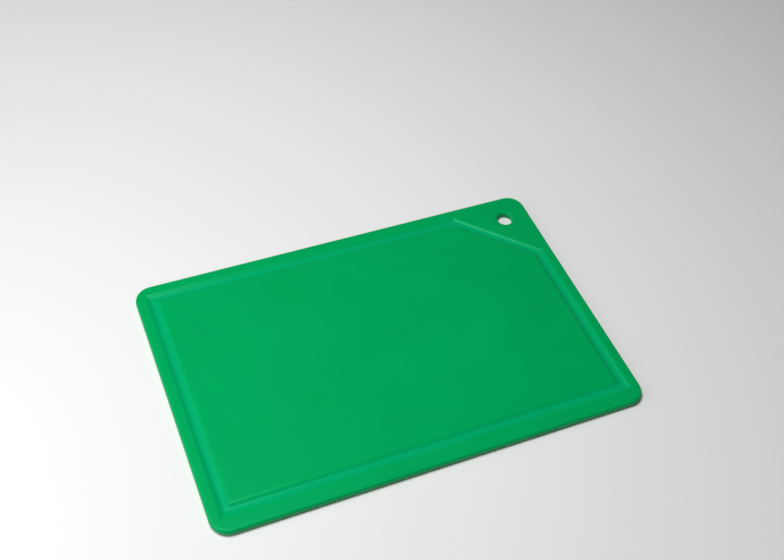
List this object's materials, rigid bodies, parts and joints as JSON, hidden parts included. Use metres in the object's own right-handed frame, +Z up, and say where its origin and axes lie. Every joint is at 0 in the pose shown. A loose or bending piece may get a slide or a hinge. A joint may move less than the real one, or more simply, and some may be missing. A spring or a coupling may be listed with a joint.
{
  "type": "cutting board",
  "caption": "Flat rectangular plastic cutting board with rounded edges, a juice groove that cuts diagonally across one corner, and a hanging hole beyond it.",
  "frame": {"origin": "middle of the underside, on the surface that the board lies on", "axes": "+X along the long side, +Y along the short side, +Z up out of the cutting surface; the hanging hole is in the +X, +Y corner"},
  "size_m": [0.455, 0.305, 0.008],
  "materials": {
    "board": "satin, solid green polyethylene with a fine moulded texture"
  },
  "bodies": {
    "root": {"board": "board"}
  },
  "joints": []
}
